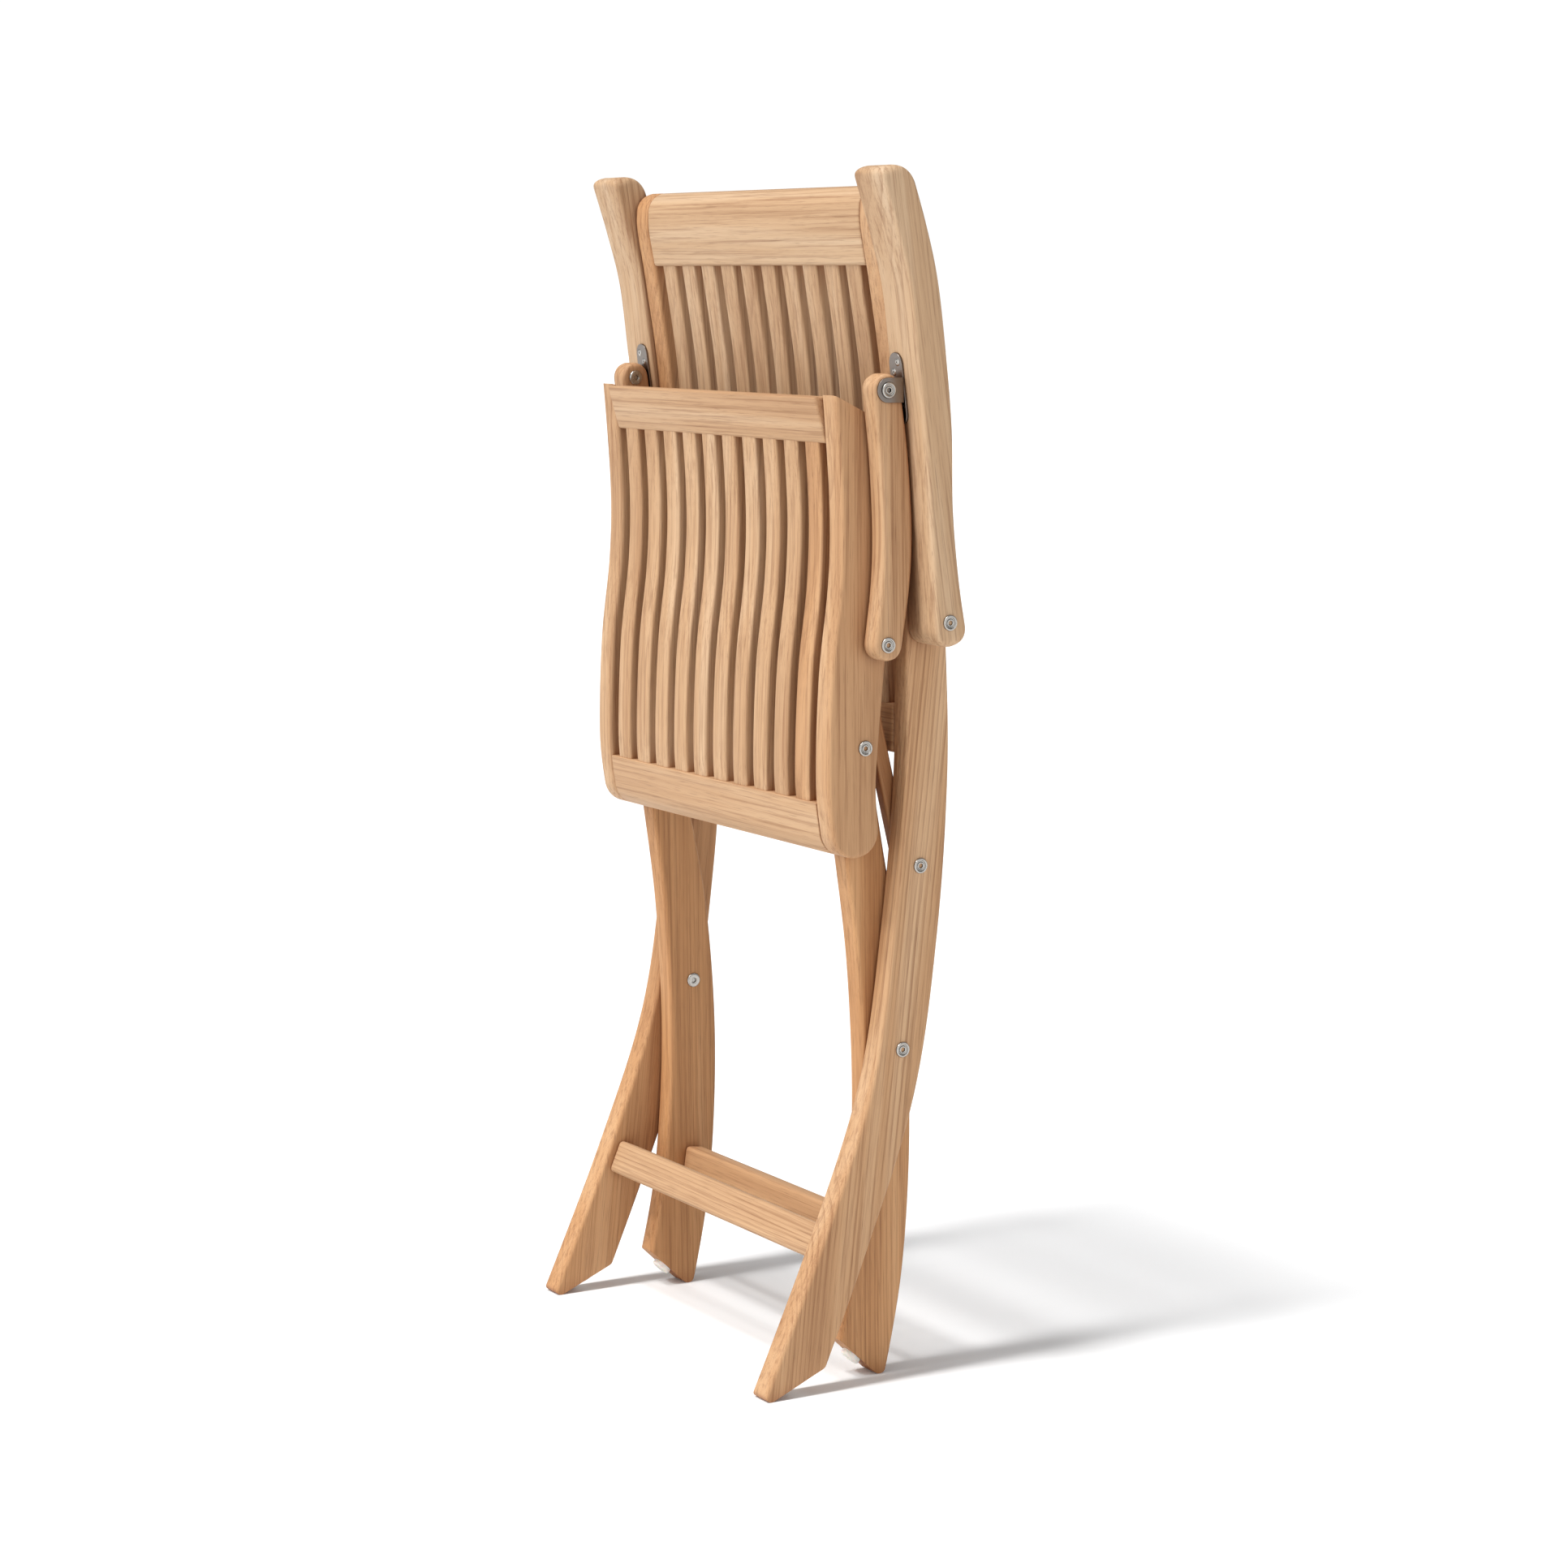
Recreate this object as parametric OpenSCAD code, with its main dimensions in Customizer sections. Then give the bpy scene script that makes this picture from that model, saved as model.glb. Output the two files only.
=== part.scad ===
// Folding garden armchair in oiled teak, drawn folded and standing on its foot tips.
//
// Width runs along X, the sitter faces -Y, and +Z is up. The origin is on the floor, at the
// centre of the folded chair. Two long uprights carry the back panel and end in the front feet.
// The rear legs cross them inside, the seat hangs in front, and an armrest lies folded against
// each upright with its support in front of it.

/* [Model] */
// Sub-part to draw

/* [Frame widths] */
// Half the width across the uprights and seat rails, outer faces
frame_half_w = 216.5; // [180:1:240]
// Thickness of the uprights and seat rails along X
rail_t = 24.5; // [16:0.5:30]
// Thickness of the rear legs along X
rear_leg_t = 23; // [16:0.5:30]
// Sideways gap between the uprights and the parts folding inside them
inner_gap = 1.2; // [0.6:0.1:3]
// Width of each armrest along X
arm_w = 48; // [35:0.1:60]
// Sideways gap between an armrest and its upright
arm_gap = 0.8; // [0.5:0.1:3]
// Thickness of each arm support along X
support_t = 21.5; // [14:0.5:26]
// Sideways gap between an arm support and the seat rail
support_gap = 2; // [1:0.1:6]
// Thickness of each seat link along X
link_t = 13; // [8:0.5:18]
// Width of each seat link across its length
link_w = 15; // [12:0.5:20]

/* [Slats] */
// Number of slats in the seat, and again in the back
slat_n = 10; // [6:1:14]
// Width of each slat along X
slat_w = 24; // [16:0.5:32]
// Thickness of each slat
slat_t = 13; // [8:0.5:18]

/* [Cross rails] */
// Thickness of the back's top rail
top_rail_t = 27; // [20:1:36]
// Thickness of the back's bottom rail
bottom_rail_t = 20; // [16:1:30]
// Height at which the slats meet the top rail of the back
top_rail_z = 1014; // [980:1:1040]
// Upper and lower faces of the bottom rail of the back
bottom_rail_z = [578, 622];
// Height at which the seat slats meet the seat's front rail
seat_front_z = 538; // [520:1:560]
// Height at which the seat slats meet the seat's rear rail
seat_rear_z = 858; // [840:1:875]
// Section of the two stretchers between the legs, across and along the leg
stretcher = [20, 32];

/* [Fixings] */
// Radius of the pivot pins
pin_r = 4; // [3:0.1:6]
// Radial running clearance of a pin in a moving part
run_fit = 0.06; // [0.03:0.01:0.1]
// Radius of the bolt heads and cap nuts
head_r = 7; // [5:0.1:10]
// Height of the bolt heads and cap nuts
head_h = 1.8; // [1:0.1:4]
// Radius of the washers between moving parts
washer_r = 9.5; // [7:0.5:14]
// Radius of the floor glides
glide_r = 9.5; // [6:0.5:12]
// Height of the front and rear glides below the cut face
glide_h = [2.5, 5];
// Thickness of the armrest bracket's steel
bracket_t = 2; // [1.5:0.1:3]

/* [Fold] */
// Slope of the front foot's cut, which lies flat when the chair is open
front_cut = 23.2; // [15:0.5:40]
// Slope of the rear foot's cut, which lies flat when the chair is open
rear_cut = 43.5; // [30:0.5:60]
// Radius of the rounded tips of the front and rear feet
tip_r = [6, 7.4]; // [2:0.1:12]

/* [Hidden] */
slack = 0.2;                                   // play left between a washer and the part beside it
y_mid = 8.54;                                  // moves the side view onto the floor's centre
fine = 48;                                     // facets in a full turn of a large curve
rail_in = frame_half_w - rail_t;               // inner faces of the uprights and seat rails
leg_out = rail_in - inner_gap;                 // outer faces of the rear legs and links
leg_in = leg_out - rear_leg_t;
link_in = leg_out - link_t;
arm_in = frame_half_w + arm_gap;
arm_out = arm_in + arm_w;
support_in = frame_half_w + support_gap;
support_out = support_in + support_t;
lug_out = support_out + slack + bracket_t;
slot_w = (2 * rail_in - slat_n * slat_w) / (slat_n + 1);

// Pivots in the side view, [y, z]. The armrest, its support, the upright and the seat link form
// a parallelogram, so the support's upper pivot follows from the other three.
cross_pivot = [38.7, 309.5];                   // upright and rear leg
link_pivot = [56.5, 477];                     // upright and seat link
arm_pivot = [54, 701.2];                       // upright and armrest
seat_pivot = [5.5, 681.5];                      // seat rail, arm support and seat link
support_pivot = seat_pivot + arm_pivot - link_pivot;
front_pivot = [-3, 587.5];                     // seat rail and rear leg

// Centre lines in the side view, each point [y, z, width across the line].
upright_line = [[-88.5, -22, 52.5], [-21.3, 132, 50], [29.8, 272, 49], [53, 417, 49],
                [64, 561, 46], [62, 680, 43.5], [56, 780, 43.5], [48, 905, 43], [33, 1003, 43],
                [24, 1048, 42], [22, 1064, 40]];
rear_leg_line = [[6, -20, 58], [31, 100, 55], [39.5, 240, 52], [32, 375, 48], [14.5, 485, 41.5],
                 [-4, 589, 40]];
seat_line = [[-11.5, 513, 49], [-15.5, 560, 51.5], [-10.5, 650, 56], [-2.5, 730, 54],
             [-1.5, 800, 53], [-8.5, 895, 53], [-13.5, 935, 53]];
arm_line = [[56, 695, 32], [50.8, 740, 27], [45.3, 800, 25.2], [41.2, 870, 29.5], [34, 932, 31.3],
            [24.8, 998, 31], [11.3, 1048, 31.5], [-6.7, 1101, 31]];
support_line = [[3.5, 905.5, 29], [11, 849, 30.5], [15.5, 785, 31.5], [14, 735, 30.5],
                [7, 681.5, 29]];

// Where the line of each foot's oblique cut meets the floor.
front_tip = [-97, 0];
rear_tip = [30, 0];

// ---- Curves ----------------------------------------------------------------------------------

// Catmull-Rom point at u within the span between p1 and p2.
function spline_at(p0, p1, p2, p3, u) =
    0.5 * (2 * p1 + (p2 - p0) * u + (2 * p0 - 5 * p1 + 4 * p2 - p3) * u * u
           + (3 * p1 - p0 - 3 * p2 + p3) * u * u * u);

// The smooth line through a list of points, with n steps to a span.
function spline(p, n = 4) = concat([
    for (i = [0 : len(p) - 2]) for (k = [0 : n - 1])
        spline_at(p[max(i - 1, 0)], p[i], p[i + 1], p[min(i + 2, len(p) - 1)], k / n)
], [p[len(p) - 1]]);

// Unit normal of the line at point i, turned a quarter turn clockwise from its direction.
function normal_at(c, i) =
    let (a = c[max(i - 1, 0)], b = c[min(i + 1, len(c) - 1)],
         d = [b[0] - a[0], b[1] - a[1]], m = norm(d))
    [d[1] / m, -d[0] / m];

// The line moved sideways: s times its half width, then k millimetres more.
function beside(c, s, k = 0) = [
    for (i = [0 : len(c) - 1])
        let (n = normal_at(c, i)) [c[i][0], c[i][1]] + n * (s * c[i][2] / 2 + k)
];

// Half circle that closes the end of a board, from direction n round to -n.
function round_end(c, n, steps = 12) = [
    for (k = [1 : steps - 1])
        let (a = atan2(n[1], n[0]) + 180 * k / steps)
        [c[0] + c[2] / 2 * cos(a), c[1] + c[2] / 2 * sin(a)]
];

function back_to_front(p) = [for (i = [len(p) - 1 : -1 : 0]) p[i]];

// Outline of a curved board, with its first and last ends rounded or left square.
function board(line, round_first, round_last) =
    let (c = spline(line), last = len(c) - 1)
    concat(
        beside(c, 1),
        round_last ? round_end(c[last], normal_at(c, last)) : [],
        back_to_front(beside(c, -1)),
        round_first ? round_end(c[0], -normal_at(c, 0)) : []);

// Outline of the layer that lies from a to b millimetres under a board's front edge.
function layer(line, side, a, b) =
    let (c = spline(line))
    concat(beside(c, side, -side * a), back_to_front(beside(c, side, -side * b)));

// ---- Building blocks -------------------------------------------------------------------------

// Extrudes a side-view outline from x = a to x = b. Outline coordinates are [y, z].
module side(a, b) {
    translate([a, y_mid, 0]) rotate([90, 0, 90]) linear_extrude(b - a) children();
}

// A cylinder along X at side-view point p, from x = a to x = b.
module rod(p, r, a, b) {
    translate([a, p[0] + y_mid, p[1]]) rotate([0, 90, 0]) cylinder(r = r, h = b - a, $fn = fine);
}

module mirrored(left) {
    mirror([left ? 1 : 0, 0, 0]) children();
}

module both_sides() {
    for (left = [false, true]) mirrored(left) children();
}

// Everything under a sloping line through p in the side view. Positive slopes rise towards +y.
module below(p, slope) {
    big = 600;
    translate(p) rotate(slope) translate([-big / 2, -big]) square([big, big]);
}

// The waste outside a foot's rounded tip. The tip's circle touches the floor and the cut, dir is
// the way the foot points along y, and lean is how far its outer edge faces down.
module tip_waste(tip, cut, r, dir, lean) {
    reach = 40;
    translate(tip) mirror([dir < 0 ? 1 : 0, 0]) translate([r * tan(cut / 2), r]) difference() {
        polygon([
            [0, 0],
            for (a = [270 - cut, 315 - (cut + lean) / 2, 360 - lean]) reach * [cos(a), sin(a)]
        ]);
        circle(r = r, $fn = fine);
    }
}

module between_z(z0, z1) {
    big = 600;
    translate([-big / 2, z0]) square([big, z1 - z0]);
}

// Bolt head with a raised ring and a hexagon socket, its outer face towards +X.
module head(p, x) {
    ring_w = 1.6;
    dish = 0.6;
    socket_r = 2.4;
    socket_d = 1.3;
    difference() {
        rod(p, head_r, x, x + head_h);
        rod(p, head_r - ring_w, x + head_h - dish, x + head_h + 1);
        translate([x + head_h - socket_d, p[0] + y_mid, p[1]]) rotate([0, 90, 0])
            cylinder(r = socket_r, h = 3, $fn = 6);
    }
}

// Pin from x = a out to x = b, with a head on its outer end.
module bolt(p, a, b) {
    head(p, b);
    rod(p, pin_r, a, b);
}

// Cap nut on the inner face at x, seen from inside the chair.
module cap_nut(p, x) {
    mirror([1, 0, 0]) head(p, -x);
}

module washer(p, a, b) {
    difference() {
        rod(p, washer_r, a, b);
        rod(p, pin_r + run_fit, a - 1, b + 1);
    }
}

module bore(p, fit = 0) {
    rod(p, pin_r + fit, 0, 300);
}

// ---- Uprights and back -----------------------------------------------------------------------

module upright(left) {
    front_lean = -23.8;
    color("BurlyWood") mirrored(left) difference() {
        side(rail_in, frame_half_w) difference() {
            polygon(board(upright_line, false, true));
            below(front_tip, front_cut);
            tip_waste(front_tip, front_cut, tip_r[0], -1, front_lean);
        }
        bore(cross_pivot, run_fit);
        bore(link_pivot, run_fit);
        bore(arm_pivot, run_fit);
    }
}

// The top rail fills the rounded head of the panel, behind its front edge.
module back_top_rail() {
    color("BurlyWood") side(-rail_in, rail_in) intersection() {
        polygon(board(upright_line, false, true));
        between_z(top_rail_z, 1200);
        polygon(layer(head_line(), -1, 0, top_rail_t));
    }
}

// The stretch of the upright's line that the top rail follows, carried on past its end.
function head_line() = concat(
    [for (i = [6 : len(upright_line) - 1]) upright_line[i]],
    [[24, 1110, 38]]);

module back_bottom_rail() {
    color("BurlyWood") side(-rail_in, rail_in) intersection() {
        polygon(layer(upright_line, -1, 0, bottom_rail_t));
        between_z(bottom_rail_z[0], bottom_rail_z[1]);
    }
}

// X of the first face of slat i, counted from the chair's left.
function slat_x(i) = -rail_in + slot_w + (i - 1) * (slat_w + slot_w);

module back_slat(i) {
    inset = 2;
    color("BurlyWood") side(slat_x(i), slat_x(i) + slat_w) intersection() {
        polygon(layer(upright_line, -1, inset, inset + slat_t));
        between_z(bottom_rail_z[1], top_rail_z);
    }
}

// A stretcher lies along its leg, its front face set back from the leg's front edge.
module stretcher_at(p, slope, reach) {
    side(-reach, reach) translate(p) rotate(-slope)
        translate(-stretcher / 2) square(stretcher);
}

module front_stretcher() {
    lean = 23;
    color("BurlyWood") stretcher_at([-29.5, 131.5], lean, rail_in);
}

module frame_washers() {
    color("Silver") both_sides() {
        washer(cross_pivot, rail_in - inner_gap + slack, rail_in);
        washer(link_pivot, rail_in - inner_gap + slack, rail_in);
        washer(arm_pivot, frame_half_w, frame_half_w + arm_gap - slack);
    }
}

// A round glide on a foot's cut face, d millimetres from its tip. dir is +1 where the cut rises
// towards the back and -1 where it rises towards the front.
module glide_at(tip, slope, dir, d, x, h) {
    n = [dir * sin(slope), -cos(slope)];
    p = tip + d * [dir * cos(slope), sin(slope)];
    translate([x, p[0] + y_mid, p[1]]) rotate([atan2(-n[0], n[1]), 0, 0])
        cylinder(r = glide_r, h = h, $fn = fine);
}

module front_glides() {
    from_tip = 31;
    color("Gainsboro") both_sides()
        glide_at(front_tip, front_cut, 1, from_tip, (rail_in + frame_half_w) / 2, glide_h[0]);
}

// ---- Rear legs -------------------------------------------------------------------------------

module rear_leg(left) {
    rear_lean = 11.5;
    color("BurlyWood") mirrored(left) difference() {
        side(leg_in, leg_out) difference() {
            polygon(board(rear_leg_line, false, true));
            below(rear_tip, -rear_cut);
            tip_waste(rear_tip, rear_cut, tip_r[1], 1, rear_lean);
        }
        bore(cross_pivot);
        bore(front_pivot);
    }
}

module rear_stretcher() {
    lean = 8;
    color("BurlyWood") stretcher_at([37, 124.5], lean, leg_in);
}

module rear_glides() {
    from_tip = 28;
    color("Gainsboro") both_sides()
        glide_at(rear_tip, rear_cut, -1, from_tip, (leg_in + leg_out) / 2, glide_h[1]);
}

module cross_bolts() {
    color("Silver") both_sides() bolt(cross_pivot, leg_in, frame_half_w);
}

// Cap nuts on the rear legs: one behind each crossing bolt, and a sleeve nut at each top end.
module rear_leg_nuts() {
    color("Silver") both_sides() {
        cap_nut(cross_pivot, leg_in);
        cap_nut(front_pivot, leg_in);
        rod(front_pivot, pin_r, leg_in, leg_out);
    }
}

// ---- Seat ------------------------------------------------------------------------------------

module seat_side_outline() {
    rear_top = [-34, 900];
    rear_slope = -26;
    difference() {
        polygon(board(seat_line, true, false));
        translate(rear_top) rotate(180 + rear_slope) translate([-300, -300]) square([600, 300]);
    }
}

module seat_rail(left) {
    color("BurlyWood") mirrored(left) difference() {
        side(rail_in, frame_half_w) seat_side_outline();
        bore(front_pivot);
        bore(seat_pivot);
    }
}

// The front rail carries on the rounded nose of the side rails, ahead of the rear legs.
module seat_front_rail() {
    rear_y = -16;
    color("BurlyWood") side(-rail_in, rail_in) intersection() {
        seat_side_outline();
        between_z(400, seat_front_z);
        translate([-300, 400]) square([300 + rear_y, 300]);
    }
}

// The rear rail is flat and leans out of the seat towards its top.
module seat_rear_rail() {
    color("BurlyWood") side(-rail_in, rail_in)
        polygon([[-31, seat_rear_z], [-43, 899], [-21, 899], [-8, seat_rear_z]]);
}

module seat_slat(i) {
    inset = 1.5;
    color("BurlyWood") side(slat_x(i), slat_x(i) + slat_w) intersection() {
        polygon(layer(seat_line, -1, inset, inset + slat_t));
        between_z(seat_front_z, seat_rear_z);
    }
}

// The front pivot's bolts end at the rails' inner faces; the others run on through the links.
module seat_bolts() {
    color("Silver") both_sides() {
        bolt(front_pivot, rail_in, frame_half_w);
        bolt(seat_pivot, link_in, support_out);
        cap_nut(seat_pivot, link_in);
    }
}

module seat_washers() {
    color("Silver") both_sides() {
        washer(front_pivot, rail_in - inner_gap + slack, rail_in);
        washer(seat_pivot, rail_in - inner_gap + slack, rail_in);
        washer(seat_pivot, frame_half_w, support_in - slack);
    }
}

// ---- Armrests --------------------------------------------------------------------------------

// Side view of an armrest: the lower end is a half circle, and the top is cut square to the line
// with a large rear corner and a small front one.
module arm_side_outline() {
    rear_r = 23;
    front_r = 5;
    line = spline(arm_line);
    last = len(line) - 1;
    n = normal_at(line, last);
    difference() {
        polygon(board(arm_line, true, false));
        translate([line[last][0], line[last][1]]) rotate(atan2(n[1], n[0])) {
            square_corner_waste(line[last][2] / 2, rear_r);
            mirror([1, 0]) square_corner_waste(line[last][2] / 2, front_r);
        }
    }
}

// The waste outside a rounded corner at [edge, 0], with the board below and to its left.
module square_corner_waste(edge, r) {
    translate([edge - r, -r]) difference() {
        square(r + 1);
        circle(r = r, $fn = fine);
    }
}

// Front view of an armrest, [x, z], with its four corners rounded.
module arm_front_outline() {
    corner = 8;
    top = 1100.3;
    bottom = 679;
    translate([arm_in, bottom]) {
        translate([corner, 0]) square([arm_w - 2 * corner, top - bottom]);
        translate([0, corner]) square([arm_w, top - bottom - 2 * corner]);
        for (x = [corner, arm_w - corner]) for (z = [corner, top - bottom - corner])
            translate([x, z]) circle(r = corner, $fn = fine);
    }
}

module armrest(left) {
    color("BurlyWood") mirrored(left) difference() {
        intersection() {
            side(arm_in, arm_out) arm_side_outline();
            translate([0, 300, 0]) rotate([90, 0, 0]) linear_extrude(600) arm_front_outline();
        }
        bore(arm_pivot);
    }
}

// Steel bracket: a plate with two round ends on the armrest, and a lug that stands off it to
// carry the support's upper pivot.
bracket_z = support_pivot[1] + 1;              // middle of the plate
bracket_lean = 7.5;                            // slope of the armrest's face at the plate
bracket_y = 21.5;                              // armrest's face at the middle of the plate
bracket_x = (support_in + support_out) / 2 + 2; // middle of the plate across the armrest
plate_w = 20;
plate_h = 64;

// Puts children, drawn flat with +z away from the armrest, onto the armrest's face.
module on_arm_face() {
    translate([bracket_x, bracket_y + y_mid, bracket_z]) rotate([90 + bracket_lean, 0, 0]) children();
}

module bracket(left) {
    lug_h = 22;
    color("DimGray") mirrored(left) difference() {
        union() {
            on_arm_face() difference() {
                union() {
                    translate([-plate_w / 2, -plate_h / 2 + plate_w / 2, 0])
                        cube([plate_w, plate_h - plate_w, bracket_t]);
                    for (end = [-1, 1]) translate([0, end * (plate_h - plate_w) / 2, 0])
                        cylinder(r = plate_w / 2, h = bracket_t, $fn = fine);
                }
                screw_places() translate([0, 0, -1]) cylinder(r = 2, h = bracket_t + 2, $fn = 24);
            }
            side(lug_out - bracket_t, lug_out) {
                difference() {
                    translate([support_pivot[0], support_pivot[1] - lug_h / 2])
                        square([bracket_y, lug_h]);
                    translate([bracket_y - bracket_t / 2, bracket_z]) rotate(bracket_lean)
                        translate([0, -plate_h / 2]) square(plate_h);
                }
                translate(support_pivot) circle(r = lug_h / 2, $fn = fine);
            }
        }
        bore(support_pivot);
    }
}

// The four screws sit in pairs on a diagonal of each end of the plate.
module screw_places() {
    for (end = [-1, 1]) for (s = [-1, 1])
        translate([s * 3.4, end * (plate_h / 2 - 13) + s * 4.4, 0]) children();
}

module bracket_screws(left) {
    shank_r = 1.9;
    screw_head_r = 3.4;
    screw_head_h = 0.6;
    color("Silver") mirrored(left) on_arm_face() screw_places() {
        translate([0, 0, bracket_t]) difference() {
            cylinder(r = screw_head_r, h = screw_head_h, $fn = 24);
            for (a = [0, 90]) rotate(a) translate([-2, -0.4, screw_head_h / 2]) cube([4, 0.8, 1]);
        }
        cylinder(r = shank_r, h = bracket_t, $fn = 24);
    }
}

module arm_bolts(left) {
    color("Silver") mirrored(left) {
        bolt(arm_pivot, rail_in, arm_out);
        cap_nut(arm_pivot, rail_in);
        bolt(support_pivot, support_in, lug_out);
        cap_nut(support_pivot, support_in);
    }
}

module arm_support(left) {
    color("BurlyWood") mirrored(left) difference() {
        side(support_in, support_out) polygon(board(support_line, true, true));
        bore(support_pivot, run_fit);
        bore(seat_pivot, run_fit);
    }
}

// ---- Seat links ------------------------------------------------------------------------------

module seat_link(left) {
    color("BurlyWood") mirrored(left) difference() {
        side(link_in, leg_out) {
            v = seat_pivot - link_pivot;
            translate(link_pivot) {
                rotate(atan2(v[1], v[0])) translate([0, -link_w / 2]) square([norm(v), link_w]);
                circle(r = link_w / 2, $fn = fine);
                translate(v) circle(r = link_w / 2, $fn = fine);
            }
        }
        bore(link_pivot);
        bore(seat_pivot, run_fit);
    }
}

module link_bolt(left) {
    color("Silver") mirrored(left) {
        bolt(link_pivot, link_in, frame_half_w);
        cap_nut(link_pivot, link_in);
    }
}

// ---- Assembly --------------------------------------------------------------------------------

upright(false);  // upright_right
upright(true);  // upright_left
back_top_rail();
back_bottom_rail();
front_stretcher();
back_slat(1);  // back_slat_1
back_slat(2);  // back_slat_2
back_slat(3);  // back_slat_3
back_slat(4);  // back_slat_4
back_slat(5);  // back_slat_5
back_slat(6);  // back_slat_6
back_slat(7);  // back_slat_7
back_slat(8);  // back_slat_8
back_slat(9);  // back_slat_9
back_slat(10);  // back_slat_10
front_glides();
frame_washers();
rear_leg(false);  // rear_leg_right
rear_leg(true);  // rear_leg_left
rear_stretcher();
rear_glides();
cross_bolts();
rear_leg_nuts();
seat_rail(false);  // seat_rail_right
seat_rail(true);  // seat_rail_left
seat_front_rail();
seat_rear_rail();
seat_slat(1);  // seat_slat_1
seat_slat(2);  // seat_slat_2
seat_slat(3);  // seat_slat_3
seat_slat(4);  // seat_slat_4
seat_slat(5);  // seat_slat_5
seat_slat(6);  // seat_slat_6
seat_slat(7);  // seat_slat_7
seat_slat(8);  // seat_slat_8
seat_slat(9);  // seat_slat_9
seat_slat(10);  // seat_slat_10
seat_bolts();
seat_washers();
armrest(false);  // armrest_right
armrest(true);  // armrest_left
bracket(false);  // bracket_right
bracket(true);  // bracket_left
bracket_screws(false);  // bracket_screws_right
bracket_screws(true);  // bracket_screws_left
arm_bolts(false);  // arm_bolts_right
arm_bolts(true);  // arm_bolts_left
arm_support(false);  // arm_support_right
arm_support(true);  // arm_support_left
seat_link(false);  // seat_link_right
seat_link(true);  // seat_link_left
link_bolt(false);  // link_bolt_right
link_bolt(true);  // link_bolt_left
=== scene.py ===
"""Folding teak armchair, shown folded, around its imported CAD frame. Table lengths are in mm."""
import math

import bmesh
import bpy
from mathutils import Matrix, Vector


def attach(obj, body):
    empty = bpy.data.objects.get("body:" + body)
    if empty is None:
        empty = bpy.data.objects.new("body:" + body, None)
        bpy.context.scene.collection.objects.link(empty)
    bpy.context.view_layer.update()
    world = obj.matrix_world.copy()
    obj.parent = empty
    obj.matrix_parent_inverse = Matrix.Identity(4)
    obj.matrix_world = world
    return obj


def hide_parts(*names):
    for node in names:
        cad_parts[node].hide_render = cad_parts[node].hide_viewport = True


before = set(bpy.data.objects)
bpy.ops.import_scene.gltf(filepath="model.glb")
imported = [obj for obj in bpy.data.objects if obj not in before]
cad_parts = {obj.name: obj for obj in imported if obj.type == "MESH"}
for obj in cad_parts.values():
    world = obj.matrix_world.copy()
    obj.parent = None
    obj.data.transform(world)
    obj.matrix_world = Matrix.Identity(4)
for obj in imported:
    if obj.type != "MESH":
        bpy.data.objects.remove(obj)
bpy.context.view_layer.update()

MM = 0.001
Y_MID = 8.54            # the side view's shift onto the floor's centre

# ---- Sizes, as in the CAD -----------------------------------------------------------------------

RAIL_OUT, RAIL_IN = 216.5, 192.0
LEG_OUT, LEG_IN = 190.8, 167.8
LINK_IN, LINK_W = 177.8, 15.0
ARM_IN, ARM_OUT = 217.3, 265.3
SUPPORT_IN, SUPPORT_OUT = 218.5, 240.0
LUG_OUT, BRACKET_T = 242.2, 2.0
SLAT_N, SLAT_W, SLAT_T = 10, 24.0, 13.0
SLOT_W = (2 * RAIL_IN - SLAT_N * SLAT_W) / (SLAT_N + 1)
PIN_R, HEAD_R, HEAD_H = 4.0, 7.0, 1.8
GLIDE_R, FRONT_GLIDE_H, REAR_GLIDE_H = 9.5, 2.5, 5.0
FRONT_CUT, REAR_CUT = 23.2, 43.5
FRONT_TIP, REAR_TIP = (-97.0, 0.0), (30.0, 0.0)
FRONT_TIP_R, REAR_TIP_R = 6.0, 7.4
FRONT_LEAN, REAR_LEAN = -23.8, 11.5         # slope of each foot's outer edge at its tip
FRONT_FROM_TIP, REAR_FROM_TIP = 31.0, 28.0  # glide's centre along the cut
FOOT_TOP = 80.0                             # foot cuts stay below this height

CROSS, LINK, ARM = (38.7, 309.5), (56.5, 477.0), (54.0, 701.2)
SEAT, FRONT = (5.5, 681.5), (-3.0, 587.5)
SUPPORT = (SEAT[0] + ARM[0] - LINK[0], SEAT[1] + ARM[1] - LINK[1])

# Centre lines in the side view: y, z, width across the line.
UPRIGHT_LINE = [(-88.5, -22, 52.5), (-21.3, 132, 50), (29.8, 272, 49), (53, 417, 49),
                (64, 561, 46), (62, 680, 43.5), (56, 780, 43.5), (48, 905, 43), (33, 1003, 43),
                (24, 1048, 42), (22, 1064, 40)]
REAR_LEG_LINE = [(6, -20, 58), (31, 100, 55), (39.5, 240, 52), (32, 375, 48), (14.5, 485, 41.5),
                 (-4, 589, 40)]
SEAT_LINE = [(-11.5, 513, 49), (-15.5, 560, 51.5), (-10.5, 650, 56), (-2.5, 730, 54),
             (-1.5, 800, 53), (-8.5, 895, 53), (-13.5, 935, 53)]
ARM_LINE = [(56, 695, 32), (50.8, 740, 27), (45.3, 800, 25.2), (41.2, 870, 29.5), (34, 932, 31.3),
            (24.8, 998, 31), (11.3, 1048, 31.5), (-6.7, 1101, 31)]
SUPPORT_LINE = [(3.5, 905.5, 29), (11, 849, 30.5), (15.5, 785, 31.5), (14, 735, 30.5),
                (7, 681.5, 29)]
ARM_CORNER, ARM_REAR_R, ARM_FRONT_R = 8.0, 23.0, 5.0
TOP_RAIL_Z, TOP_RAIL_T = 1014.0, 27.0
BOTTOM_RAIL_Z, BOTTOM_RAIL_T = (578.0, 622.0), 20.0
SEAT_FRONT_Z, SEAT_REAR_Z = 538.0, 858.0
SEAT_FRONT_RAIL_REAR_Y = -16.0
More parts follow.
